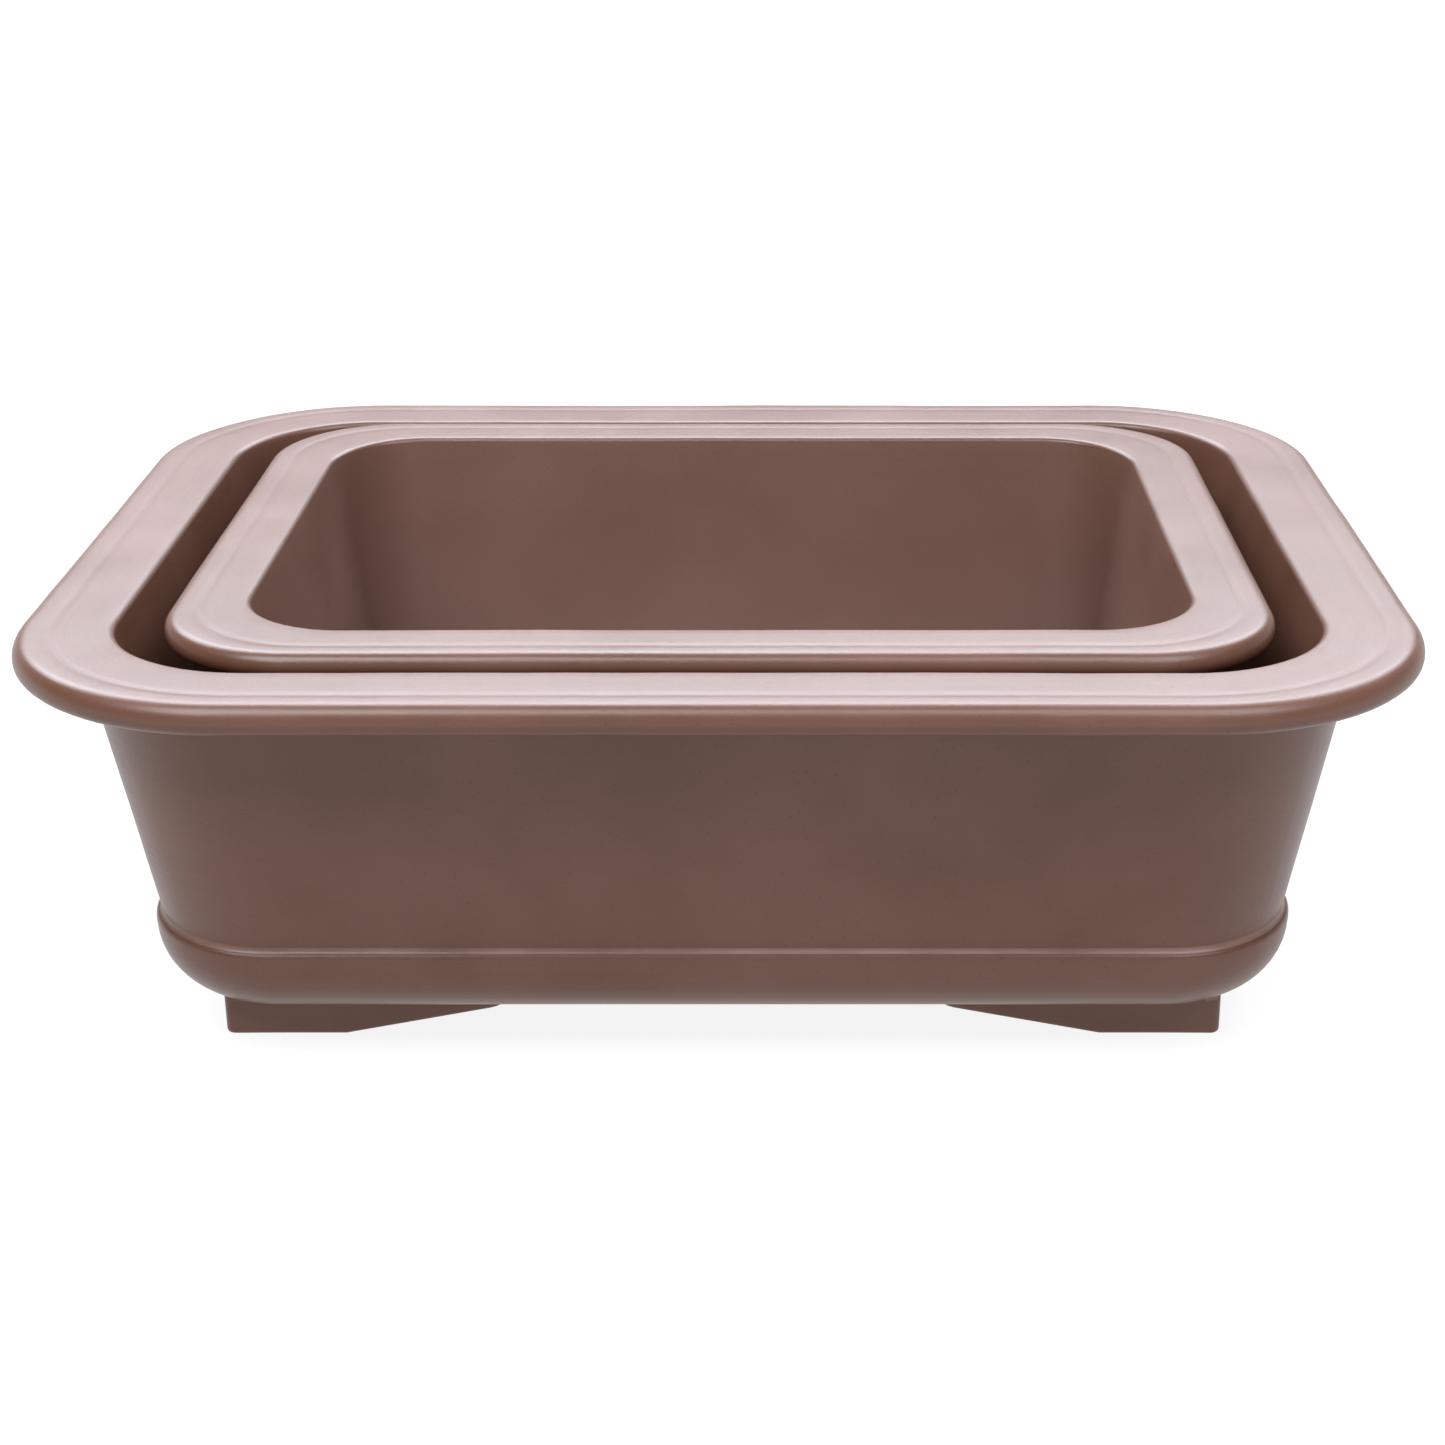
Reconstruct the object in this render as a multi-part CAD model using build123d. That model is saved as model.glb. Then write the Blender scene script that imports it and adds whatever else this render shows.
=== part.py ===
from build123d import *
import os
from dataclasses import dataclass
from math import hypot

# Two rectangular bonsai pots in unglazed brown clay, the smaller one standing inside the larger one.
# Each pot has plastic drain screens over its drain holes, held by bent wire clips.
# Millimetres. The origin is on the ground under the middle of the outer pot: X runs along the pots,
# the front faces -Y and +Z is up. The inner pot lifts straight out along +Z.
# Insets are measured inwards from the outer edge of a pot's lip, and heights up from its own feet.

# The section through the outer pot's wall. The inner pot's is the same, times its moulding ratio.
LIP_WIDTH = 21.25
LIP_THICKNESS = 7.0
LIP_TOP_ROUND = 4.0
LIP_UNDER_ROUND = 2.9
LIP_COVE = 3.5
LIP_STUB_INSET = 8.0  # how far out the top of the wall runs inside the lip, so that the two join all round
RIM_ROUND = 1.8
WALL_INSET_UNDER_LIP = 15.4
WALL_TAPER = 0.186  # inset gained per millimetre of drop
BELT_HEIGHT = 30.0
BELT_INSET = 25.6
BELT_FACE = 1.0  # upright face between the belt's round ledge and the curve under it
BASE_INSET = 42.1
FLOOR_THICKNESS = 7.3
FLOOR_ROUND = 8.0

# Bracket feet: an L at each corner, whose lower edge rises in a slope and then a short curve.
FOOT_HEIGHT = 10.2
FOOT_INSET = 42.4
FOOT_ROOT = 4.5  # how far a foot runs up into the curved base
FOOT_THICKNESS = 11.0
FOOT_CORNER_ROUND = 2.0
FOOT_INSIDE_ROUND = 6.0
FOOT_FLAT = 29.0
FOOT_SLOPE_END = 64.0
FOOT_SLOPE_RISE = 6.8
FOOT_LENGTH = 69.5
FOOT_TIP_RADIUS = 7.0  # of the short hollow curve at a foot's end
SIDE_FOOT_RATIO = 0.74  # the feet are shorter along the pot's ends

DRAIN_EDGE_ROUND = 1.2
CUT = 1.0  # how far a cutting shape runs past the surface that it cuts

# Drain screens: moulded square mesh, cut to a whole number of cells.
CELL = 3.0
STRAND_WIDTH = 0.8
SCREEN_THICKNESS = 1.0

# Clips: one wire, looped on each side of the hole, with two legs bent outwards under the floor.
WIRE = 1.5
WIRE_GAP = 0.15  # left between a clip and the pot, and where the wire crosses over itself
SCREEN_GAP = 0.05  # left between a clip and its screen
LEG_BEND = 1.6
LOOP_BEND = 3.0
TOE = 8.25  # how far a clip's bent end reaches past the edge of its drain hole


@dataclass(frozen=True)
class Pot:
    """What differs between the two pots."""

    name: str
    length: float
    depth: float
    height: float
    wall: float  # thickness of the walls
    lip_corner: float  # plan radius of the lip's outer corners
    opening_corner: float  # plan radius of the opening's corners
    moulding: float  # size of the lip, belt and feet against the outer pot's
    stands_at: float  # height of the surface under its feet
    drain_radius: float
    drain_spacing: float
    tie_hole_radius: float
    tie_spacing: tuple
    screen_cells: int
    leg: tuple  # where a clip's leg goes through the screen, from the hole's axis, in cells
    loop: tuple  # how far a clip's loop reaches, from the hole's axis


OUTER = Pot(
    name="outer",
    length=324.0,
    depth=250.0,
    height=101.0,
    wall=8.4,
    lip_corner=57.0,
    opening_corner=36.8,
    moulding=1.0,
    stands_at=0.0,
    drain_radius=12.5,
    drain_spacing=120.0,
    tie_hole_radius=2.5,
    tie_spacing=(156.0, 88.0),
    screen_cells=13,
    leg=(3, -1),
    loop=(17.0, 7.5),
)

INNER = Pot(
    name="inner",
    length=257.6,
    depth=195.4,
    height=85.1,
    wall=6.0,
    lip_corner=34.0,
    opening_corner=24.6,
    moulding=0.857,
    stands_at=FOOT_HEIGHT + FLOOR_THICKNESS,
    drain_radius=10.5,
    drain_spacing=96.0,
    tie_hole_radius=2.0,
    tie_spacing=(124.0, 64.0),
    screen_cells=11,
    leg=(2, -1),
    loop=(13.5, 6.5),
)


def rounded_block(pot, outline, corner_radius):
    """A solid whose outline, drawn as (inset, height), runs round a rounded rectangle.

    The outline reaches inwards to the axis of the corners, at an inset of corner_radius.
    """
    half_x = pot.length / 2 - corner_radius
    half_y = pot.depth / 2 - corner_radius
    section = Plane.XZ * mirror(outline, about=Plane.YZ).moved(Location((corner_radius, 0, 0)))
    box = outline.bounding_box()
    pieces = [Pos(0, 0, (box.min.Y + box.max.Y) / 2) * Box(2 * half_x, 2 * half_y, box.size.Y)]
    for quarter in range(4):
        reach, half_run = (half_x, half_y) if quarter % 2 == 0 else (half_y, half_x)
        place = Rot(0, 0, 90 * quarter) * Pos(reach, half_run, 0)
        pieces.append(place * extrude(section, amount=2 * half_run))
        pieces.append(place * revolve(section, Axis.Z, 90))
    return (pieces[0] + pieces[1:]).clean()


def near(shape, *point):
    """The vertex of a flat shape that is nearest to a point."""
    return shape.vertices().sort_by_distance((*point, 0))[0]


def wall_inset(height, pot):
    """Inset of the outer wall's face at a height."""
    underside = pot.height - LIP_THICKNESS * pot.moulding
    return WALL_INSET_UNDER_LIP * pot.moulding + WALL_TAPER * (underside - height)


def wall_corner(pot):
    """Inset of the axis that the corners of the walls, base and opening are turned about."""
    return pot.opening_corner + LIP_WIDTH * pot.moulding


def wall_outline(pot):
    """Half section of the filled wall, with the belt, the curved base and a stub that roots it in the lip."""
    m = pot.moulding
    underside = pot.height - LIP_THICKNESS * m
    stub_top = pot.height - LIP_THICKNESS * m / 2
    stub = LIP_STUB_INSET * m
    under_lip = (WALL_INSET_UNDER_LIP * m, underside)
    bottom = FOOT_HEIGHT * m
    belt_top = BELT_HEIGHT * m
    belt = BELT_INSET * m
    base = BASE_INSET * m
    ledge_start = wall_inset(belt_top, pot)
    ledge = ledge_start - belt
    belt_bottom = belt_top - ledge - BELT_FACE * m
    run, drop = base - belt, belt_bottom - bottom
    base_radius = (run**2 + drop**2) / (2 * run)
    edge = Polyline(
        (ledge_start, belt_top),
        under_lip,
        (stub, underside),
        (stub, stub_top),
        (wall_corner(pot), stub_top),
        (wall_corner(pot), bottom),
        (base, bottom),
    )
    base_curve = RadiusArc((base, bottom), (belt, belt_bottom), base_radius)
    belt_face = Line((belt, belt_bottom), (belt, belt_top - ledge))
    ledge_curve = RadiusArc((belt, belt_top - ledge), (ledge_start, belt_top), ledge)
    outline = make_face(edge + base_curve + belt_face + ledge_curve)
    return fillet(near(outline, *under_lip), LIP_COVE * m)


def lip_outline(pot):
    """Half section of the lip, filled to the axis of its corners."""
    m = pot.moulding
    underside = pot.height - LIP_THICKNESS * m
    corners = [(0, underside), (0, pot.height), (pot.lip_corner, pot.height), (pot.lip_corner, underside)]
    outline = make_face(Polyline(*corners, close=True))
    outline = fillet(near(outline, 0, pot.height), LIP_TOP_ROUND * m)
    return fillet(near(outline, 0, underside), LIP_UNDER_ROUND * m)


def cavity_outline(pot):
    """Half section of the space inside the pot."""
    m = pot.moulding
    floor = (FOOT_HEIGHT + FLOOR_THICKNESS) * m
    top = pot.height + CUT
    across = pot.wall * hypot(1, WALL_TAPER)
    axis = wall_corner(pot)
    at_floor = (wall_inset(floor, pot) + across, floor)
    outline = make_face(
        Polyline(
            (axis, floor),
            at_floor,
            (wall_inset(top, pot) + across, top),
            (axis, top),
            close=True,
        )
    )
    return fillet(near(outline, *at_floor), FLOOR_ROUND * m)


def foot_arch(pot, half_width, ratio):
    """The opening between two feet, seen from the side that they stand on."""
    m = pot.moulding
    flat, slope, tip = (half_width - d * m * ratio for d in (FOOT_FLAT, FOOT_SLOPE_END, FOOT_LENGTH))
    rise, top = FOOT_SLOPE_RISE * m, FOOT_HEIGHT * m
    root = (FOOT_HEIGHT + FOOT_ROOT) * m + CUT
    edge = Polyline(
        (-tip, top),
        (-tip, root),
        (0, root),
        (0, -CUT),
        (-flat, -CUT),
        (-flat, 0),
        (-slope, rise),
    )
    tip_curve = RadiusArc((-slope, rise), (-tip, top), FOOT_TIP_RADIUS * m)
    half = make_face(edge + tip_curve)
    return half + mirror(half, about=Plane.YZ)


def feet(pot):
    """The four bracket feet, rooted in the curved base."""
    m = pot.moulding
    length = pot.length - 2 * FOOT_INSET * m
    depth = pot.depth - 2 * FOOT_INSET * m
    inner_length = length - 2 * FOOT_THICKNESS * m
    inner_depth = depth - 2 * FOOT_THICKNESS * m
    ring = RectangleRounded(length, depth, FOOT_CORNER_ROUND * m)
    ring -= RectangleRounded(inner_length, inner_depth, FOOT_INSIDE_ROUND * m)
    skirt = extrude(ring, amount=(FOOT_HEIGHT + FOOT_ROOT) * m)
    front_arch = extrude(Plane.XZ * foot_arch(pot, length / 2, 1.0), amount=depth, both=True)
    side_arch = extrude(Plane.YZ * foot_arch(pot, depth / 2, SIDE_FOOT_RATIO), amount=length, both=True)
    return skirt - front_arch - side_arch


def drain_places(pot):
    """The axes of the pot's two drain holes."""
    return [Pos(side * pot.drain_spacing / 2, 0, 0) for side in (-1, 1)]


def make_pot(pot):
    """One fired piece: walls, lip, belt, floor and feet, with its drain holes and tie-wire holes."""
    m = pot.moulding
    floor = (FOOT_HEIGHT + FLOOR_THICKNESS) * m
    body = rounded_block(pot, wall_outline(pot), wall_corner(pot))
    body += rounded_block(pot, lip_outline(pot), pot.lip_corner)
    body -= rounded_block(pot, cavity_outline(pot), wall_corner(pot))
    top_face = body.faces().sort_by(Axis.Z)[-1]
    body = fillet(top_face.inner_wires()[0].edges(), RIM_ROUND * m)
    body += feet(pot)
    for place in drain_places(pot):
        hole = Pos(0, 0, floor / 2) * Cylinder(pot.drain_radius, floor + 2 * CUT)
        body -= place * hole
    drain_edges = body.edges().filter_by(GeomType.CIRCLE).filter_by(
        lambda edge: abs(edge.radius - pot.drain_radius) < 0.01
    )
    body = fillet(drain_edges, DRAIN_EDGE_ROUND * m)
    for place in GridLocations(*pot.tie_spacing, 2, 2):
        body -= place * Pos(0, 0, floor / 2) * Cylinder(pot.tie_hole_radius, floor + 2 * CUT)
    return Pos(0, 0, pot.stands_at) * body


def make_screen(pot):
    """A square of moulded mesh, centred on its drain hole and lying on the pot's floor."""
    cells = pot.screen_cells
    side = cells * CELL + STRAND_WIDTH
    opening = CELL - STRAND_WIDTH
    flat = Rectangle(side, side) - [
        place * Rectangle(opening, opening) for place in GridLocations(CELL, CELL, cells, cells)
    ]
    floor = pot.stands_at + (FOOT_HEIGHT + FLOOR_THICKNESS) * pot.moulding
    return Pos(0, 0, floor) * extrude(flat, amount=SCREEN_THICKNESS)


def make_clip(pot):
    """A wire clip: a straight run over the screen, a loop at each end, and a leg down from each loop."""
    underside = pot.stands_at + FOOT_HEIGHT * pot.moulding
    floor = underside + FLOOR_THICKNESS * pot.moulding
    low = floor + SCREEN_THICKNESS + WIRE / 2 + SCREEN_GAP
    high = low + WIRE + WIRE_GAP
    foot = underside - WIRE / 2 - WIRE_GAP
    leg_x, leg_y = pot.leg[0] * CELL, pot.leg[1] * CELL
    loop_x, loop_y = pot.loop
    foot_x = pot.drain_radius + TOE
    half = [
        (foot_x, leg_y, foot),
        (leg_x, leg_y, foot),
        (leg_x, leg_y, high),
        (leg_x, loop_y, high),
        (loop_x, loop_y, (low + high) / 2),
        (loop_x, 0, low),
    ]
    other_half = [(-x, -y, z) for x, y, z in reversed(half)]
    half_radii = [LEG_BEND, LEG_BEND, LOOP_BEND, LOOP_BEND, LOOP_BEND]
    path = FilletPolyline(*half, *other_half, radius=half_radii + half_radii[::-1])
    start = Plane(origin=path @ 0, z_dir=path % 0)
    return sweep(start * Circle(WIRE / 2), path=path)


def write(node, shape):
    """Write one piece's STEP file."""
    shape.label = node
    export_step(shape, f"parts/{node}.step")


os.makedirs("parts", exist_ok=True)
for pot in (OUTER, INNER):
    write(f"{pot.name}_pot", make_pot(pot))
    for side, place in zip(("left", "right"), drain_places(pot)):
        write(f"{pot.name}_screen_{side}", place * make_screen(pot))
        write(f"{pot.name}_clip_{side}", place * make_clip(pot))
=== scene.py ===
"""The looks of the nested bonsai pots: pressed and fired clay, moulded drain screens, bent wire clips.

Sections are drawn in millimetres, as insets from the outer edge of a pot's lip and heights from its feet.
Meshes are in metres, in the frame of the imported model.
"""

from math import atan, cos, degrees, hypot, pi, radians, sin

import bmesh
import bpy
import numpy as np
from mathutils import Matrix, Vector, noise
from mathutils.geometry import delaunay_2d_cdt


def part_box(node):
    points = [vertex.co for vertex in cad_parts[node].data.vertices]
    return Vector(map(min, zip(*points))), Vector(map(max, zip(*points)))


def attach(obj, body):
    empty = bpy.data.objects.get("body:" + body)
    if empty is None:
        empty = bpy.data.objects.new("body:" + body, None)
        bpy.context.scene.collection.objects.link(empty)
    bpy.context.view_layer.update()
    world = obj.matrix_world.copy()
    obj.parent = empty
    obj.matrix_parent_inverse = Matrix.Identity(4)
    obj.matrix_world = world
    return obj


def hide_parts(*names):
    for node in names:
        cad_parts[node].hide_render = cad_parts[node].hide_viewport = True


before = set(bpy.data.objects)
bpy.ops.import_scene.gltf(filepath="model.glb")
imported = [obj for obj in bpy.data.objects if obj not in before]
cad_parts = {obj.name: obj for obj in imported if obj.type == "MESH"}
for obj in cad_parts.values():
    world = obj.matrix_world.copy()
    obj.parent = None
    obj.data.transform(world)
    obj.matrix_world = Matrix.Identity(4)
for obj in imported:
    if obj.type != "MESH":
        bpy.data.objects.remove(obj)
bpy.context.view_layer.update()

MM = 0.001

# The section that the two pots share, as in the CAD model. The inner pot's is the same, times its moulding.
LIP_WIDTH = 21.25
LIP_THICKNESS = 7.0
LIP_TOP_ROUND = 4.0
LIP_UNDER_ROUND = 2.9
LIP_COVE = 3.5
RIM_ROUND = 1.8
WALL_INSET_UNDER_LIP = 15.4
WALL_TAPER = 0.186
BELT_HEIGHT = 30.0
BELT_INSET = 25.6
BELT_FACE = 1.0
BASE_INSET = 42.1
FLOOR_THICKNESS = 7.3
FLOOR_ROUND = 8.0
FOOT_HEIGHT = 10.2
FOOT_INSET = 42.4
FOOT_THICKNESS = 11.0
FOOT_CORNER_ROUND = 2.0
FOOT_INSIDE_ROUND = 6.0
FOOT_FLAT = 29.0
FOOT_SLOPE_END = 64.0
FOOT_SLOPE_RISE = 6.8
FOOT_LENGTH = 69.5
SIDE_FOOT_RATIO = 0.74
DRAIN_EDGE_ROUND = 1.2

# Details that only the looks have.
LINE_INSET = 8.4  # a tooled line round the top of the lip
LINE_HALF_WIDTH = 2.0
LINE_DEPTH = 0.08
CREASE = 1.2  # height of the hollow curve of clay left in the corner above the belt
FOOT_EDGE_ROUND = 0.9
TIE_EDGE_ROUND = 0.5
STEP = 2.6  # spacing of the mesh along straight runs
RIM_STEPS = 9  # rings round the inner edge of a lip
BASE_STEPS = 12  # rings down the curved base
SHARP_ANGLE = 38  # edges that turn more than this stay crisp
MERGE_WITHIN = 0.01  # points closer than this become one
SHORTEST_EDGE = 0.005
FILL_SPACING = 5.0  # spacing of the mesh in the flat floor and underside
FILL_CORNER = 12.0  # rounding of that mesh's corners
HOLE_EDGE_BEND = 0.4  # how convex the holes' edges count as, for the paler edges of wear and painted highlight
WAVER = 0.16  # how far the hand-finished surfaces wander
WAVER_SCALES = ((22.0, 1.0), (60.0, 0.4))  # waves per metre and strength, of the broad and the fine wander
WAVER_SEED = Vector((3.1, 7.7, 1.9))
WAVER_RISE = 12  # it fades in over this height above the floor
WAVER_FOOT_RISE = 8  # and over this height up the feet's corners
LEAN = degrees(atan(WALL_TAPER))


class Pot:
    """One pot's sizes, taken from its CAD node where that shows them."""

    def __init__(self, name, moulding, wall, lip_corner, opening_corner, drain, tie):
        low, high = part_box(f"{name}_pot")
        size = (high - low) / MM
        self.name = name
        self.length, self.depth, self.height = size
        self.stands_at = low.z / MM
        self.moulding = moulding
        self.wall = wall
        self.lip_corner = lip_corner
        self.wall_corner = opening_corner + LIP_WIDTH * moulding
        self.drain_radius, self.drain_spacing = drain
        self.tie_radius, self.tie_x, self.tie_y = tie

    def wall_inset(self, height):
        """Inset of the outer wall's face at a height."""
        underside = self.height - LIP_THICKNESS * self.moulding
        return WALL_INSET_UNDER_LIP * self.moulding + WALL_TAPER * (underside - height)

    def cavity_inset(self, height):
        """Inset of the inner wall's face at a height."""
        return self.wall_inset(height) + self.wall * hypot(1, WALL_TAPER)


OUTER = Pot("outer", 1.0, 8.4, 57.0, 36.8, drain=(12.5, 120.0), tie=(2.5, 156.0, 88.0))
INNER = Pot("inner", 0.857, 6.0, 34.0, 24.6, drain=(10.5, 96.0), tie=(2.0, 124.0, 64.0))


def arc(centre, radius, start, end, steps):
    """Points along an arc of the section, by angle in degrees: 0 is inwards and 90 is up."""
    angles = np.radians(np.linspace(start, end, steps + 1))
    return [(centre[0] + radius * cos(a), centre[1] + radius * sin(a)) for a in angles]


def line(start, end, spacing):
    """Points along a straight stretch of the section, without its start."""
    steps = max(1, round(hypot(end[0] - start[0], end[1] - start[1]) / spacing))
    return [tuple(np.array(start) + (np.array(end) - start) * i / steps) for i in range(1, steps + 1)]


def inside_section(pot):
    """From the edge of the flat floor, up the inner wall and over the rim to the top of the lip."""
    m = pot.moulding
    floor = (FOOT_HEIGHT + FLOOR_THICKNESS) * m
    half_turn = radians((90 - LEAN) / 2)
    fillet_inset = pot.cavity_inset(floor) + FLOOR_ROUND * m * np.tan(half_turn)
    points = arc((fillet_inset, floor + FLOOR_ROUND * m), FLOOR_ROUND * m, 270, 180 + LEAN, steps=7)
    rim = RIM_ROUND * m
    rim_centre = (pot.cavity_inset(pot.height) - rim * np.tan(half_turn), pot.height - rim)
    roll = arc(rim_centre, rim, LEAN, 90, RIM_STEPS)
    return points + line(points[-1], roll[0], spacing=3.0) + roll[1:]


def lip_section(pot, start):
    """From the flat of the lip, across its tooled line, round its outer edge and under it."""
    m = pot.moulding
    top = pot.height
    line_inset, half_width = LINE_INSET * m, LINE_HALF_WIDTH * m
    points = line(start, (line_inset + half_width, top), spacing=2.4)
    for turn in np.linspace(-pi, pi, 9)[1:]:
        dip = LINE_DEPTH * m * (1 + cos(turn)) / 2
        points.append((line_inset - half_width * turn / pi, top - dip))
    roll, under = LIP_TOP_ROUND * m, LIP_UNDER_ROUND * m
    underside = top - LIP_THICKNESS * m
    points += arc((roll, top - roll), roll, 90, 180, steps=11)
    points += arc((under, underside + under), under, 180, 270, steps=5)
    return points


def wall_section(pot, start):
    """From under the lip, round the cove, down the wall and over the belt to its upright face."""
    m = pot.moulding
    underside = pot.height - LIP_THICKNESS * m
    cove = LIP_COVE * m
    cove_inset = WALL_INSET_UNDER_LIP * m - cove * np.tan(radians((90 - LEAN) / 2))
    belt_top, belt = BELT_HEIGHT * m, BELT_INSET * m
    ledge = pot.wall_inset(belt_top) - belt
    crease = CREASE * m
    points = line(start, (cove_inset, underside), STEP)
    points += arc((cove_inset, underside - cove), cove, 90, LEAN, steps=6)[1:]
    points += line(points[-1], (pot.wall_inset(belt_top + crease), belt_top + crease), spacing=3.0)
    ledge_start = degrees(np.arccos(-crease / ledge))
    ledge_arc = arc((belt + ledge, belt_top - ledge), ledge, ledge_start, 180, steps=7)
    start, corner, end = (np.array(p) for p in (points[-1], (belt + ledge, belt_top), ledge_arc[0]))
    for share in (0.2, 0.4, 0.6, 0.8):
        rest = 1 - share
        points.append(tuple(start * rest**2 + corner * 2 * share * rest + end * share**2))
    return points + ledge_arc + [(belt, belt_top - ledge - BELT_FACE * m)]


class Stations:
    """The stations round a pot, shared by all its rings. Each has a direction and a place on the axis line.

    The axis line is the rectangle through the centres of the wall's rounded corners.
    """

    def __init__(self, pot):
        m = pot.moulding
        self.pot = pot
        self.axis = np.array([pot.length, pot.depth]) / 2 - pot.wall_corner
        self.foot_corner = np.array([pot.length, pot.depth]) / 2 - FOOT_INSET * m
        self.ratios = np.array([1.0, SIDE_FOOT_RATIO])
        self.flat_end = self.foot_corner - FOOT_FLAT * m * self.ratios
        quarter = self.run(1) + self.corner() + self.run(0)[::-1]
        directions = np.array([station[:2] for station in quarter])
        places = np.array([station[2:] for station in quarter])
        sets = []
        for sx, sy, order in ((1, 1, 1), (-1, 1, -1), (-1, -1, 1), (1, -1, -1)):
            turned = np.hstack([directions * (sx, sy), places * (sx, sy)])[::order]
            sets.append(turned[:-1])
        stations = np.vstack(sets)
        self.direction, self.place = stations[:, :2], stations[:, 2:]
        self.count = len(stations)

    def run(self, across):
        """Half of a straight run along Y (across 1) or X (across 0), from its middle to the corner."""
        m = self.pot.moulding
        from_corner = np.array([FOOT_LENGTH, FOOT_SLOPE_END, FOOT_FLAT]) * m * self.ratios[across]
        tip, slope, flat = self.foot_corner[across] - from_corner
        marks = [0.0, tip, *np.linspace(tip, slope, 5)[1:], flat, self.axis[across]]
        places = []
        for a, b in zip(marks, marks[1:]):
            steps = max(1, round((b - a) / STEP))
            places += list(np.linspace(a, b, steps, endpoint=False))
        direction = (1.0, 0.0) if across else (0.0, 1.0)
        other = self.axis[1 - across]
        return [(*direction, *((other, p) if across else (p, other))) for p in places]

    def corner(self):
        """The quarter turn round the corner, finer where the foot's square corner is."""
        offset = self.pot.wall_corner - FOOT_INSET * self.pot.moulding
        round_start = degrees(atan(1 - FOOT_CORNER_ROUND * self.pot.moulding / offset))
        side_count, middle_count = 11, 9
        first = np.linspace(0, round_start, side_count)
        middle = np.linspace(round_start, 90 - round_start, middle_count)[1:]
        last = np.linspace(90 - round_start, 90, side_count)[1:]
        angles = np.radians([*first, *middle, *last])
        return [(cos(a), sin(a), *self.axis) for a in angles]

    def ring(self, inset, height, corner):
        """The points of the ring at an inset and height, its corners turned about that corner's own axis."""
        axis = np.array([self.pot.length, self.pot.depth]) / 2 - corner
        size = np.abs(self.place)
        stretch = (axis - self.flat_end) / (self.axis - self.flat_end)
        moved = np.where(size > self.flat_end, self.flat_end + (size - self.flat_end) * stretch, size)
        reach = np.broadcast_to(corner - np.asarray(inset, float), (self.count,))
        side = np.sign(self.place + 1e-12 * self.direction)
        flat = side * moved + reach[:, None] * self.direction
        heights = np.broadcast_to(np.asarray(height, float), (self.count,))
        return np.column_stack([flat, heights])

    def foot_inset(self):
        """Inset of the feet's outer face at each station, measured towards the wall's corner axis."""
        pot = self.pot
        offset = pot.wall_corner - FOOT_INSET * pot.moulding
        turn = FOOT_CORNER_ROUND * pot.moulding
        c, s = np.abs(self.direction).T
        square = offset / np.maximum(c, s)
        inner = offset - turn
        under_root = np.maximum((inner * (c + s)) ** 2 - 2 * inner**2 + turn**2, 0)
        rounded = inner * (c + s) + np.sqrt(under_root)
        in_turn = np.minimum(c, s) * square > inner
        return pot.wall_corner - np.where(in_turn, rounded, square)

    def foot_bottom(self):
        """Height of the feet's lower edge at each station: a flat, a slope, then a short hollow curve."""
        m = self.pot.moulding
        along_x = np.abs(self.direction[:, 0]) < 1e-6
        from_corner = np.where(
            along_x,
            (self.foot_corner[0] - np.abs(self.place[:, 0])) / self.ratios[0],
            (self.foot_corner[1] - np.abs(self.place[:, 1])) / self.ratios[1],
        )
        on_corner = np.abs(self.direction).min(axis=1) > 1e-6
        d = np.where(on_corner, 0, from_corner) / m
        slope = np.clip((d - FOOT_FLAT) / (FOOT_SLOPE_END - FOOT_FLAT), 0, 1) * FOOT_SLOPE_RISE
        tip = np.clip((d - FOOT_SLOPE_END) / (FOOT_LENGTH - FOOT_SLOPE_END), 0, 1)
        hollow = (FOOT_HEIGHT - FOOT_SLOPE_RISE) * (0.3 * tip + 0.7 * tip**2)
        return (slope + hollow) * m


def base_rings(stations):
    """Rings below the belt: down the curved base and the feet's outer face, and up their inner face."""
    pot = stations.pot
    m = pot.moulding
    belt, base, underside = BELT_INSET * m, BASE_INSET * m, FOOT_HEIGHT * m
    top = BELT_HEIGHT * m - (pot.wall_inset(BELT_HEIGHT * m) - belt) - BELT_FACE * m
    run, drop = base - belt, top - underside
    radius = (run**2 + drop**2) / (2 * run)
    foot = stations.foot_inset()
    end_inset = np.minimum(base, foot)
    end_turn = np.arccos(1 - (end_inset - belt) / radius)
    wall = pot.wall_corner
    rings = []
    for share in np.linspace(0, 1, BASE_STEPS + 1)[1:]:
        turn = end_turn * share
        rings.append((belt + radius * (1 - np.cos(turn)), top - radius * np.sin(turn), wall))
    end_height = top - radius * np.sin(end_turn)
    low = stations.foot_bottom()
    depth = underside - low
    edge = np.minimum(FOOT_EDGE_ROUND * m, 0.35 * depth)
    for share in np.linspace(0, 1, 5):
        rings.append((foot, end_height + (low + edge - end_height) * share, wall))
    for turn in np.radians([30, 60, 90]):
        rings.append((foot + edge * (1 - cos(turn)), low + edge * (1 - sin(turn)), wall))
    inside = (FOOT_INSET + FOOT_THICKNESS) * m
    inside_corner = inside + FOOT_INSIDE_ROUND * m
    for turn in np.radians([90, 60, 30, 0]):
        rings.append((inside - edge * (1 - cos(turn)), low + edge * (1 - sin(turn)), inside_corner))
    rings.append((inside, low + depth * 0.6, inside_corner))
    rings.append((inside, underside, inside_corner))
    return rings


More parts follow.
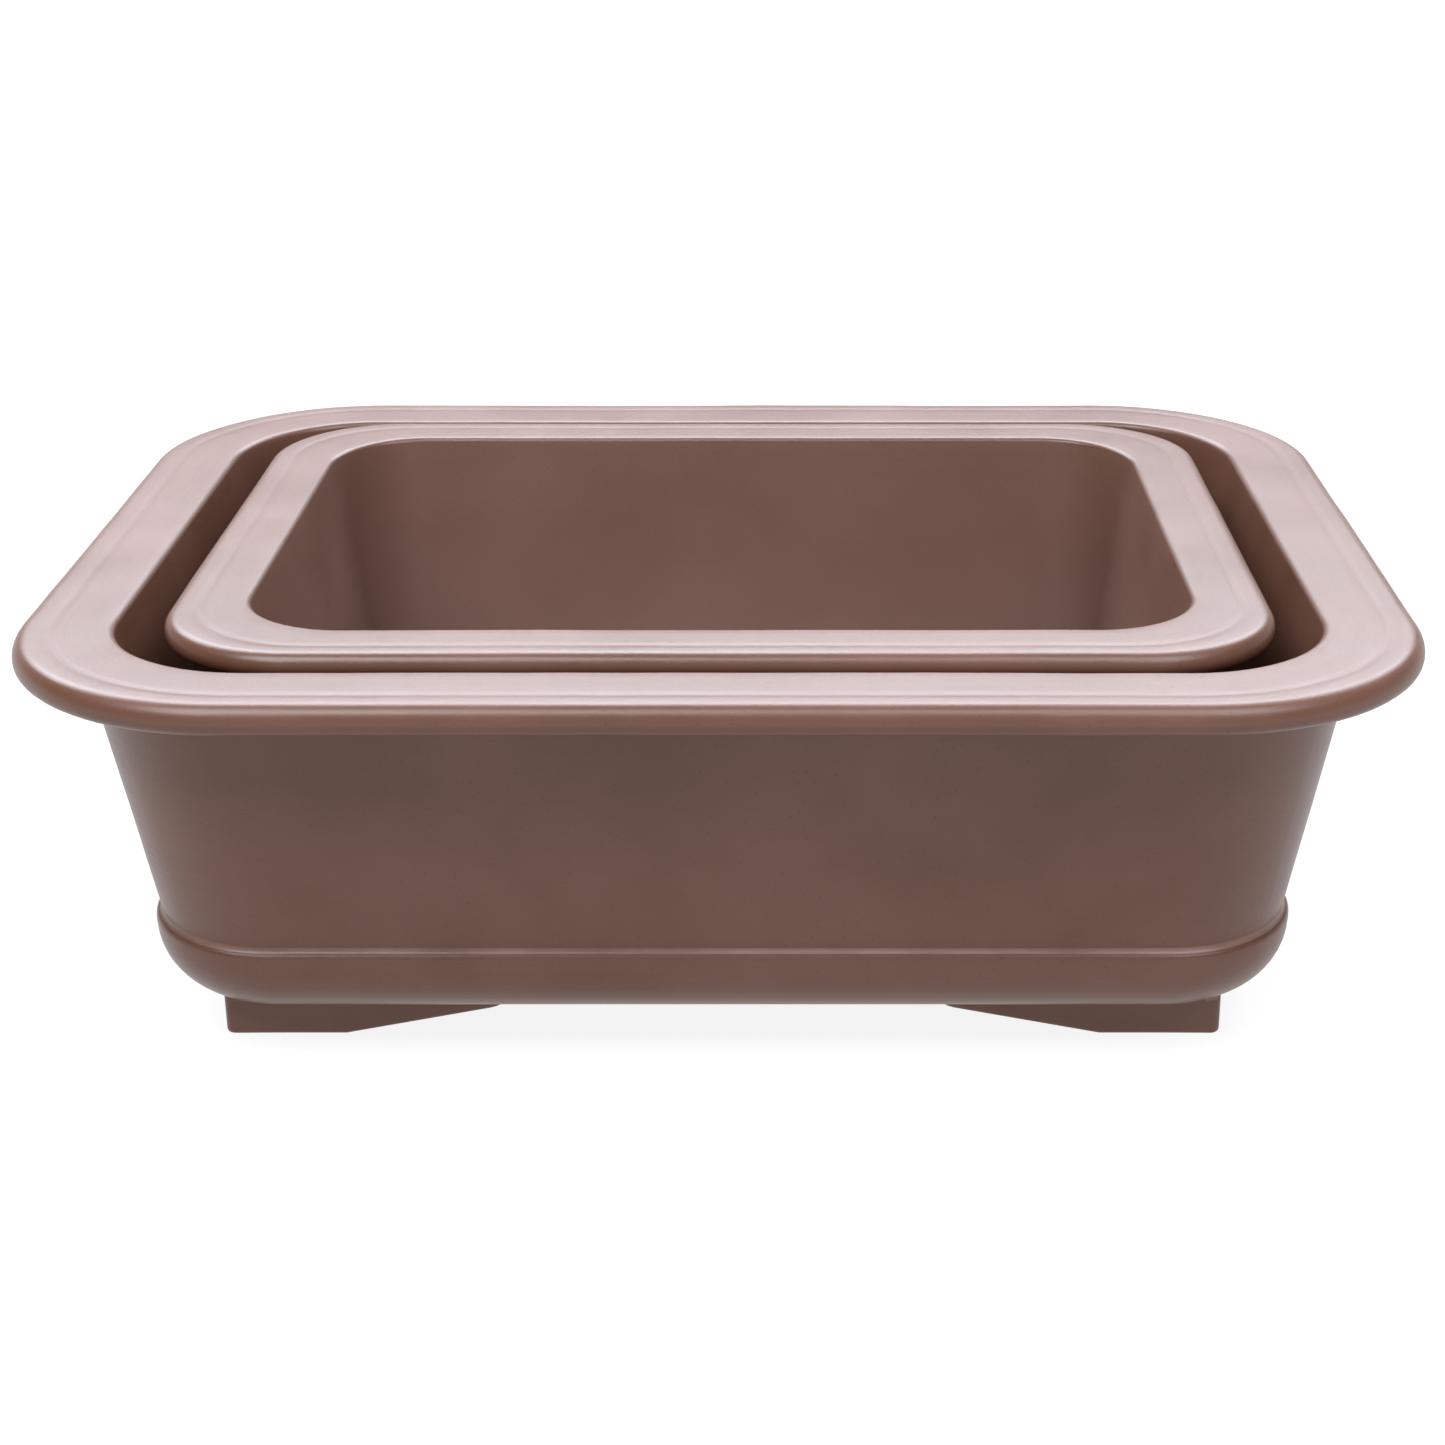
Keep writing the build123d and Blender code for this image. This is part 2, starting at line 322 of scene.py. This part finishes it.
def pot_rings(pot):
    """The stations and rings of a pot's skin, from its floor's edge over the lip to its underside's edge.

    Also the number of rings inside the pot, and of those above the feet.
    """
    stations = Stations(pot)
    wall, lip = pot.wall_corner, pot.lip_corner
    inner = inside_section(pot)
    rim_end = inner[-1]
    over = lip_section(pot, rim_end)
    under = wall_section(pot, over[-1])
    m = pot.moulding

    def corner_at(inset, lip_end, wall_end):
        """The corner inset goes over from the lip's to the wall's between two insets."""
        share = np.clip((inset - lip_end) / (wall_end - lip_end), 0, 1)
        return lip + (wall - lip) * share

    profile = [(s, z, wall) for s, z in inner]
    roll_end = LIP_TOP_ROUND * m
    profile += [(s, z, corner_at(s, roll_end, rim_end[0])) for s, z in over]
    cove_start = (WALL_INSET_UNDER_LIP - LIP_COVE) * m
    profile += [(s, z, corner_at(s, LIP_UNDER_ROUND * m, cove_start)) for s, z in under]
    rings = profile + base_rings(stations)
    return stations, [stations.ring(*ring) for ring in rings], len(inner), len(profile) + BASE_STEPS


def section_tags(rings, station):
    """Along the section at one station: the distance run, and how convex or hollow the skin is."""
    points = np.array([ring[station] for ring in rings])
    outward = hypot(*points[0][:2])
    flat = np.column_stack([np.hypot(points[:, 0], points[:, 1]) - outward, points[:, 2]])
    steps = np.diff(flat, axis=0)
    lengths = np.hypot(steps[:, 0], steps[:, 1])
    across = np.concatenate([[0], np.cumsum(lengths)])
    headings = np.arctan2(steps[:, 1], steps[:, 0])
    turns = (np.diff(headings) + pi) % (2 * pi) - pi
    spans = np.maximum((lengths[1:] + lengths[:-1]) / 2, 0.15)
    bend = np.concatenate([[0], turns / spans, [0]])
    return across, bend


def fill_flat(outline, rims, height):
    """A flat face with round holes: its points, the outline's and the holes' first, and its triangles."""
    border = [tuple(p[:2]) for p in outline]
    points = list(border)
    edges = [(i, (i + 1) % len(border)) for i in range(len(border))]
    for x, y, radius, count in rims:
        start = len(points)
        points += [(x + radius * cos(a), y + radius * sin(a)) for a in np.arange(count) * 2 * pi / count]
        edges += [(start + i, start + (i + 1) % count) for i in range(count)]
    half_x, half_y = np.abs(np.array(border)).max(axis=0) - FILL_SPACING * 0.8
    for x in np.arange(-half_x, half_x, FILL_SPACING):
        for y in np.arange(-half_y, half_y, FILL_SPACING):
            over_x, over_y = abs(x) - (half_x - FILL_CORNER), abs(y) - (half_y - FILL_CORNER)
            if over_x > 0 and over_y > 0 and hypot(over_x, over_y) > FILL_CORNER:
                continue
            if all(hypot(x - rim_x, y - rim_y) > r + FILL_SPACING * 0.5 for rim_x, rim_y, r, _ in rims):
                points.append((x, y))
    found, _, triangles, origins, _, _ = delaunay_2d_cdt([Vector(p) for p in points], edges, [], 0, 1e-6)
    faces = []
    for triangle in triangles:
        middle = sum((found[i] for i in triangle), Vector((0, 0))) / len(triangle)
        in_hole = any(hypot(middle.x - x, middle.y - y) <= radius * 0.999 for x, y, radius, _ in rims)
        if not in_hole:
            faces.append([origins[i][0] for i in triangle])
    return np.column_stack([np.array(points), np.full(len(points), height)]), faces


def pot_holes(pot):
    """The pot's drain and tie-wire holes: place, radius, rounding of the edge and number of points."""
    m = pot.moulding
    holes = []
    for side in (-1, 1):
        holes.append((side * pot.drain_spacing / 2, 0, pot.drain_radius, DRAIN_EDGE_ROUND * m, 72))
    for sx, sy in ((-1, -1), (-1, 1), (1, -1), (1, 1)):
        holes.append((sx * pot.tie_x / 2, sy * pot.tie_y / 2, pot.tie_radius, TIE_EDGE_ROUND * m, 28))
    return holes


def hole_section(radius, edge, floor, underside):
    """Radius and height down a hole with rounded edges, between its rims on the two flat faces."""
    turns = np.radians([30, 60, 90])
    top = [(radius + edge * (1 - sin(a)), floor - edge * (1 - cos(a))) for a in turns]
    shaft = [(radius, floor + (underside - floor) * share) for share in (0.4, 0.7)]
    bottom = [(radius + edge * (1 - sin(a)), underside + edge * (1 - cos(a))) for a in turns[::-1]]
    return top + shaft + bottom


class Skin:
    """A pot's skin while it is put together, in millimetres from the pot's feet.

    Each point has three tags: distance along the section, how convex the skin is, and 1 where it's hidden.
    """

    def __init__(self):
        self.points = np.zeros((0, 3))
        self.tags = np.zeros((0, 3))
        self.faces = []

    def add_points(self, points, across, bend, inside):
        """Add points, and give the number of the first."""
        start = len(self.points)
        shape = (len(points),)
        tags = [np.broadcast_to(np.asarray(tag, float), shape) for tag in (across, bend, inside)]
        self.points = np.vstack([self.points, points])
        self.tags = np.vstack([self.tags, np.column_stack(tags)])
        return start

    def add_band(self, first, second, count):
        """Join two rings of points with faces."""
        for i in range(count):
            after = (i + 1) % count
            self.faces.append([first + i, first + after, second + after, second + i])

    def add_cap(self, ring, count, holes, height):
        """Fill a ring with a flat face that has holes, and give the number of the holes' first point."""
        rims = [(x, y, radius + edge, steps) for x, y, radius, edge, steps in holes]
        points, faces = fill_flat(self.points[ring : ring + count], rims, height)
        start = self.add_points(points[count:], self.tags[ring, 0], 0.0, 1.0)
        for face in faces:
            self.faces.append([ring + i if i < count else start + i - count for i in face])
        return start

    def add_hole(self, hole, top_rim, bottom_rim, floor, underside):
        """Line a hole, from its rim in the floor to its rim in the underside."""
        x, y, radius, edge, count = hole
        turns = np.arange(count) * 2 * pi / count
        previous = top_rim
        for r, z in hole_section(radius, edge, floor, underside):
            ring = np.column_stack([x + r * np.cos(turns), y + r * np.sin(turns), np.full(count, z)])
            start = self.add_points(ring, z, HOLE_EDGE_BEND, 1.0)
            self.add_band(previous, start, count)
            previous = start
        self.add_band(previous, bottom_rim, count)


def pot_skin(pot):
    """The whole closed skin of a pot."""
    stations, rings, inner_rows, foot_row = pot_rings(pot)
    count = stations.count
    from_foot = np.abs(stations.place[:, 0] - stations.flat_end[0])
    behind = stations.place[:, 1] > 0
    across, bend = section_tags(rings, int(np.argmin(np.where(behind, np.inf, from_foot))))
    bends = np.tile(bend[:, None], (1, count))
    foot_depth = FOOT_HEIGHT * pot.moulding - stations.foot_bottom()
    bends[foot_row:] *= np.clip(foot_depth / FOOT_EDGE_ROUND / 2, 0, 1)
    inside = np.arange(len(rings)) < inner_rows - RIM_STEPS

    skin = Skin()
    skin.add_points(np.vstack(rings), np.repeat(across, count), bends.ravel(), np.repeat(inside, count))
    for row in range(len(rings) - 1):
        skin.add_band(row * count, (row + 1) * count, count)
    floor = (FOOT_HEIGHT + FLOOR_THICKNESS) * pot.moulding
    underside = FOOT_HEIGHT * pot.moulding
    holes = pot_holes(pot)
    top_rim = skin.add_cap(0, count, holes, floor)
    bottom_rim = skin.add_cap((len(rings) - 1) * count, count, holes, underside)
    for hole in holes:
        skin.add_hole(hole, top_rim, bottom_rim, floor, underside)
        top_rim += hole[-1]
        bottom_rim += hole[-1]
    return skin


def make_pot(pot):
    """One pot as a single closed mesh, with its tags stored as point attributes."""
    skin = pot_skin(pot)
    skin.points[:, 2] += pot.stands_at
    skin.tags[:, 2] *= INSIDE_DUST_AND_LIGHT[pot.name]
    mesh = bpy.data.meshes.new(f"{pot.name}_pot_clay")
    mesh.from_pydata(skin.points * MM, [], skin.faces)
    for name, values in zip(("across", "bend", "inside"), skin.tags.T):
        mesh.attributes.new(name, "FLOAT", "POINT").data.foreach_set("value", values)
    tidy_mesh(mesh)
    waver(mesh, pot)
    piece = bpy.data.objects.new(f"{pot.name}_pot_clay", mesh)
    bpy.context.scene.collection.objects.link(piece)
    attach(piece, pot.name)
    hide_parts(f"{pot.name}_pot")
    return piece


def tidy_mesh(mesh):
    """Merge the rows that meet, drop what has no area, and turn every face outwards."""
    work = bmesh.new()
    work.from_mesh(mesh)
    bmesh.ops.remove_doubles(work, verts=work.verts, dist=MERGE_WITHIN * MM)
    bmesh.ops.dissolve_degenerate(work, edges=work.edges, dist=SHORTEST_EDGE * MM)
    bmesh.ops.recalc_face_normals(work, faces=work.faces)
    for face in work.faces:
        face.smooth = True
    work.to_mesh(mesh)
    work.free()
    mesh.set_sharp_from_angle(angle=radians(SHARP_ANGLE))


def waver(mesh, pot):
    """Let the skin wander a little, as hand-pressed clay does, but not where things rest on it."""
    count = len(mesh.vertices)
    place, normal = np.zeros(count * 3), np.zeros(count * 3)
    mesh.vertices.foreach_get("co", place)
    mesh.vertices.foreach_get("normal", normal)
    place, normal = place.reshape(-1, 3), normal.reshape(-1, 3)
    height = place[:, 2] / MM - pot.stands_at
    floor = (FOOT_HEIGHT + FLOOR_THICKNESS) * pot.moulding
    above_floor = np.clip((height - floor - 1) / WAVER_RISE, 0, 1)
    reach = 60
    from_edge = np.abs(place[:, :2]) / MM - [pot.length / 2, pot.depth / 2]
    near_corner = np.hypot(*from_edge.clip(-reach, 0).T) < reach + 2
    upright = np.abs(normal[:, 2]) < 0.9
    low_corners = np.clip((height - 3) / WAVER_FOOT_RISE, 0, 1) * near_corner
    share = np.maximum(above_floor, low_corners * upright)
    seed = WAVER_SEED * (1 if pot.name == "outer" else 2)
    wander = np.zeros(count)
    for waves, strength in WAVER_SCALES:
        wander += np.array([strength * noise.noise(Vector(p) * waves + seed) for p in place])
    place += normal * (wander * share * WAVER * MM)[:, None]
    mesh.vertices.foreach_set("co", place.ravel())
    mesh.update()


class Nodes:
    """A material's node tree, with short calls to add and join nodes."""

    def __init__(self, name):
        self.material = bpy.data.materials.new(name)
        self.material.use_nodes = True
        self.tree = self.material.node_tree
        self.shader = self.tree.nodes["Principled BSDF"]

    def add(self, kind, inputs=None, **settings):
        node = self.tree.nodes.new(kind)
        for key, value in settings.items():
            setattr(node, key, value)
        for key, value in (inputs or {}).items():
            if isinstance(value, bpy.types.NodeSocket):
                self.tree.links.new(value, node.inputs[key])
            else:
                node.inputs[key].default_value = value
        return node

    def attribute(self, name):
        return self.add("ShaderNodeAttribute", attribute_name=name).outputs["Fac"]

    def place(self):
        return self.add("ShaderNodeTexCoord").outputs["Object"]

    def noise(self, scale, detail=3.0, roughness=0.55, **inputs):
        dimensions = "4D" if "W" in inputs else "3D"
        inputs |= {"Vector": self.place(), "Scale": scale, "Detail": detail, "Roughness": roughness}
        return self.add("ShaderNodeTexNoise", inputs, noise_dimensions=dimensions).outputs["Fac"]

    def math(self, operation, a, b):
        return self.add("ShaderNodeMath", {0: a, 1: b}, operation=operation).outputs["Value"]

    def span(self, value, from_low, from_high, to_low=0.0, to_high=1.0):
        inputs = {"Value": value, "From Min": from_low, "From Max": from_high}
        inputs |= {"To Min": to_low, "To Max": to_high}
        return self.add("ShaderNodeMapRange", inputs).outputs["Result"]

    def blend(self, share, a, b):
        return self.add("ShaderNodeMix", {"Factor": share, 6: a, 7: b}, data_type="RGBA").outputs[2]

    def join(self, socket, value):
        self.tree.links.new(value, self.shader.inputs[socket])


CLAY = (0.090, 0.036, 0.020, 1)
CLAY_LIGHT = (0.114, 0.050, 0.032, 1)
# darker clay, for streaks and specks, and for painted shade in hollows
CLAY_DARK = (0.052, 0.022, 0.014, 1)
# paler clay for convex edges: wear, and a painted highlight along them
CLAY_WORN_AND_HIGHLIGHT = (0.240, 0.150, 0.125, 1)
# pale clay for the insides: dust, and painted light
CLAY_DUSTY_AND_LIT = (0.200, 0.135, 0.118, 1)
INSIDE_DUST_AND_LIGHT = {"outer": 0.1, "inner": 0.85}  # how much paler and duller the clay is inside each pot: partly dust, partly painted light that grows towards the floor; the outer pot gets little, so its shaded inside stays dark
PLASTIC = (0.012, 0.012, 0.013, 1)
PLASTIC_DUSTY = (0.05, 0.045, 0.04, 1)
WIRE = (0.47, 0.25, 0.15, 1)
WIRE_SCUFFED = (0.62, 0.38, 0.26, 1)


def clay_material():
    """Unglazed fired clay: mottled, with fine grains and faint tooling streaks. Convex edges go paler,
    partly with wear and partly with painted highlight; hollows get painted shade; the insides go paler,
    partly with dust and partly with painted light.
    """
    n = Nodes("fired_clay")
    across = n.math("MULTIPLY", n.attribute("across"), 0.55)
    streaks = n.noise(9.0, 3.0, W=across)
    clouds = n.noise(24.0, 4.0)
    grains = n.noise(1400.0, 2.0, 0.6)
    specks = n.add("ShaderNodeTexVoronoi", {"Vector": n.place(), "Scale": 420.0}).outputs["Distance"]
    bend = n.attribute("bend")
    inside = n.attribute("inside")

    colour = n.blend(n.span(clouds, 0.35, 0.68), CLAY, CLAY_LIGHT)
    colour = n.blend(n.span(streaks, 0.55, 0.8, 0.0, 0.2), colour, CLAY_DARK)
    colour = n.blend(n.span(grains, 0.56, 0.75, 0.0, 0.55), colour, CLAY_LIGHT)
    colour = n.blend(n.span(specks, 0.16, 0.07, 0.0, 0.5), colour, CLAY_DARK)
    # inside the pots the clay goes paler towards the floor, partly with dust and partly with painted light
    dust_and_light = n.math("MULTIPLY", inside, n.span(n.attribute("across"), 75.0, 5.0, 0.12, 0.5))
    colour = n.blend(dust_and_light, colour, CLAY_DUSTY_AND_LIT)
    # convex edges go paler, partly with wear and partly with a painted highlight, as along the belt's ledge
    wear_and_highlight = n.math("MULTIPLY", n.span(bend, 0.12, 0.7), n.span(clouds, 0.4, 0.6, 0.3, 0.75))
    colour = n.blend(wear_and_highlight, colour, CLAY_WORN_AND_HIGHLIGHT)
    # painted shade: hollows and creases, such as above the belt and in the tooled line, go darker
    colour = n.blend(n.span(bend, -0.1, -0.9, 0.0, 0.2), colour, CLAY_DARK)
    n.join("Base Color", colour)

    rough = n.span(clouds, 0.3, 0.7, 0.30, 0.37)
    rough = n.math("ADD", rough, n.span(streaks, 0.4, 0.7, 0.0, 0.06))
    rough = n.math("ADD", rough, n.math("MULTIPLY", inside, 0.1))
    n.join("Roughness", rough)

    n.shader.inputs["Specular IOR Level"].default_value = 0.42
    height = n.math("ADD", n.math("MULTIPLY", grains, 0.5), n.math("MULTIPLY", streaks, 0.12))
    bump = n.add("ShaderNodeBump", {"Strength": 0.25, "Distance": 0.0003, "Height": height})
    n.join("Normal", bump.outputs["Normal"])
    return n.material


def plastic_material():
    """Black moulded plastic mesh with a faint grain and patches of dust."""
    n = Nodes("moulded_plastic")
    grain = n.noise(900.0, 2.0)
    dust = n.noise(120.0, 4.0)
    n.join("Base Color", n.blend(n.span(dust, 0.45, 0.8, 0.0, 0.6), PLASTIC, PLASTIC_DUSTY))
    n.join("Roughness", n.span(dust, 0.3, 0.7, 0.38, 0.6))
    bump = n.add("ShaderNodeBump", {"Strength": 0.2, "Distance": 0.0001, "Height": grain})
    n.join("Normal", bump.outputs["Normal"])
    return n.material


def wire_material():
    """Copper-coloured anodised aluminium wire, drawn and lightly scuffed."""
    n = Nodes("anodised_wire")
    scuffs = n.noise(300.0, 4.0)
    drawn = n.noise(1800.0, 1.0)
    n.join("Base Color", n.blend(n.span(scuffs, 0.4, 0.7), WIRE, WIRE_SCUFFED))
    n.join("Roughness", n.span(drawn, 0.3, 0.7, 0.28, 0.42))
    bump = n.add("ShaderNodeBump", {"Strength": 0.15, "Distance": 0.00005, "Height": drawn})
    n.join("Normal", bump.outputs["Normal"])
    n.shader.inputs["Metallic"].default_value = 1.0
    return n.material


# Camera: in front of the pots and above them, looking at the middle of their height.
CAMERA_ELEVATION = 22.0
CAMERA_DISTANCE = 0.6724
CAMERA_LENS = 63.5
CAMERA_ASIDE = 0.0176  # the camera stands a little to the right of the middle
AIM_HEIGHT = 0.0475
FRAMING_SHIFT = -0.0509

PALE = (0.94, 0.96, 1.0)
COOL = (0.86, 0.91, 1.0)
HORIZON_GLOW = 0.95  # a pale backdrop low down, dimmer overhead
SKY_GLOW = 0.27
HORIZON_TOP = 0.04  # it dims between these two sines of the elevation
SKY_START = 0.22

# Soft lights: name, azimuth, elevation, distance, size, radiance and colour.
PANELS = (
    ("back_panel", -4, 42, 2.4, (3.4, 1.4), 10.4, COOL),
    ("left_panel", 224, 60, 2.2, (1.15, 1.3), 11.5, PALE),
    ("right_panel", 138, 58, 2.2, (1.0, 1.3), 9.0, PALE),
    ("front_panel", 180, 18, 2.6, (3.0, 1.3), 0.6, PALE),
)

FLOOR_REACH = 12.0
FLOOR_SHADE = (0.12, 0.12, 0.12, 1)
FLOOR_GLOW = 0.88


def add_camera():
    """A long lens in front of the pots, looking down on them a little."""
    data = bpy.data.cameras.new("camera")
    data.lens = CAMERA_LENS
    data.sensor_width = 36.0
    data.shift_x = FRAMING_SHIFT
    data.clip_start, data.clip_end = 0.05, 50
    camera = bpy.data.objects.new("camera", data)
    turn = radians(CAMERA_ELEVATION)
    aim = Vector((CAMERA_ASIDE, 0, AIM_HEIGHT))
    camera.location = aim + Vector((0, -cos(turn), sin(turn))) * CAMERA_DISTANCE
    camera.rotation_euler = (pi / 2 - turn, 0, 0)
    bpy.context.scene.collection.objects.link(camera)
    bpy.context.scene.camera = camera


def add_panel(name, azimuth, elevation, distance, size, radiance, colour):
    """A soft rectangular light aimed at the pots. Azimuth 0 is behind them and 90 is to their right."""
    data = bpy.data.lights.new(name, "AREA")
    data.shape = "RECTANGLE"
    data.size, data.size_y = size
    data.energy = radiance * pi * size[0] * size[1]
    data.color = colour
    panel = bpy.data.objects.new(name, data)
    a, e = radians(azimuth), radians(elevation)
    out = Vector((sin(a) * cos(e), cos(a) * cos(e), sin(e)))
    panel.location = out * distance + Vector((0, 0, AIM_HEIGHT))
    panel.rotation_euler = out.to_track_quat("Z", "Y").to_euler()
    panel.visible_camera = False
    bpy.context.scene.collection.objects.link(panel)


def add_floor():
    """A plain pale floor that glows a little, so that shadows on it stay soft and light."""
    mesh = bpy.data.meshes.new("floor")
    corners = [(x * FLOOR_REACH, y * FLOOR_REACH, 0) for x, y in ((-1, -1), (1, -1), (1, 1), (-1, 1))]
    mesh.from_pydata(corners, [], [(0, 1, 2, 3)])
    floor = bpy.data.objects.new("floor", mesh)
    bpy.context.scene.collection.objects.link(floor)
    material = bpy.data.materials.new("pale_floor")
    material.use_nodes = True
    shader = material.node_tree.nodes["Principled BSDF"]
    shader.inputs["Base Color"].default_value = FLOOR_SHADE
    shader.inputs["Roughness"].default_value = 0.9
    shader.inputs["Specular IOR Level"].default_value = 0.0
    shader.inputs["Emission Color"].default_value = (1, 1, 1, 1)
    shader.inputs["Emission Strength"].default_value = FLOOR_GLOW
    mesh.materials.append(material)


def add_lights():
    """A pale world with a dimmer sky, and four panels."""
    world = bpy.data.worlds.new("world")
    world.use_nodes = True
    tree = world.node_tree
    direction = tree.nodes.new("ShaderNodeTexCoord")
    split = tree.nodes.new("ShaderNodeSeparateXYZ")
    fade = tree.nodes.new("ShaderNodeMapRange")
    fade.inputs["From Min"].default_value = HORIZON_TOP
    fade.inputs["From Max"].default_value = SKY_START
    fade.inputs["To Min"].default_value = HORIZON_GLOW
    fade.inputs["To Max"].default_value = SKY_GLOW
    tree.links.new(direction.outputs["Generated"], split.inputs["Vector"])
    tree.links.new(split.outputs["Z"], fade.inputs["Value"])
    background = tree.nodes["Background"]
    background.inputs["Color"].default_value = (1, 1, 1, 1)
    tree.links.new(fade.outputs["Result"], background.inputs["Strength"])
    bpy.context.scene.world = world
    for panel in PANELS:
        add_panel(*panel)
    view = bpy.context.scene.view_settings
    view.view_transform = "Standard"
    view.look = "None"


add_camera()
add_lights()
add_floor()
clay = clay_material()
for pot in (OUTER, INNER):
    make_pot(pot).data.materials.append(clay)
finishes = {"screen": plastic_material(), "clip": wire_material()}
for name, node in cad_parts.items():
    for part, material in finishes.items():
        if part in name:
            for holder in node.material_slots:
                holder.link = "OBJECT"
                holder.material = material
